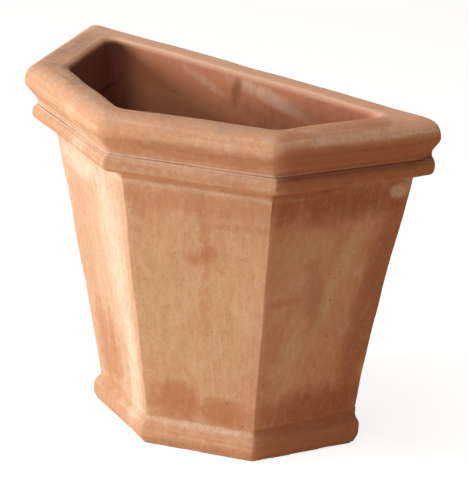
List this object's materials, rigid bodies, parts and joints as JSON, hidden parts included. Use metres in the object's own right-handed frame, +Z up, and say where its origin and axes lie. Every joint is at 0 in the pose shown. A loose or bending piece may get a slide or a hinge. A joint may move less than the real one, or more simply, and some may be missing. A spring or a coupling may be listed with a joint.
{
  "type": "wall planter",
  "caption": "Half-octagonal terracotta wall planter with leaning panelled sides, rolled rim, bead, foot band and a flat back.",
  "frame": {"origin": "middle of the lower edge of the flat back, on the floor that the planter stands on", "axes": "+Z up, +Y out of the flat back into the wall, +X along the wall to the right for someone facing it"},
  "size_m": [0.5046, 0.2526, 0.4],
  "materials": {
    "slab_clay": "unglazed terracotta, dry and finely pitted",
    "moulding_clay": "unglazed terracotta, dry and finely pitted",
    "luting_clay": "unglazed terracotta, dry and finely pitted"
  },
  "bodies": {
    "root": {"floor_slab": "slab_clay", "back_wall": "slab_clay", "wall_left_end": "slab_clay", "wall_left_front": "slab_clay", "wall_right_front": "slab_clay", "wall_right_end": "slab_clay", "corner_coil_back_left": "luting_clay", "corner_coil_left": "luting_clay", "corner_coil_front": "luting_clay", "corner_coil_right": "luting_clay", "corner_coil_back_right": "luting_clay", "floor_coil": "luting_clay", "plinth_left_end": "moulding_clay", "plinth_left_front": "moulding_clay", "plinth_right_front": "moulding_clay", "plinth_right_end": "moulding_clay", "bead_left_end": "moulding_clay", "bead_left_front": "moulding_clay", "bead_right_front": "moulding_clay", "bead_right_end": "moulding_clay", "roll_back": "moulding_clay", "roll_left_end": "moulding_clay", "roll_left_front": "moulding_clay", "roll_right_front": "moulding_clay", "roll_right_end": "moulding_clay"}
  },
  "joints": []
}
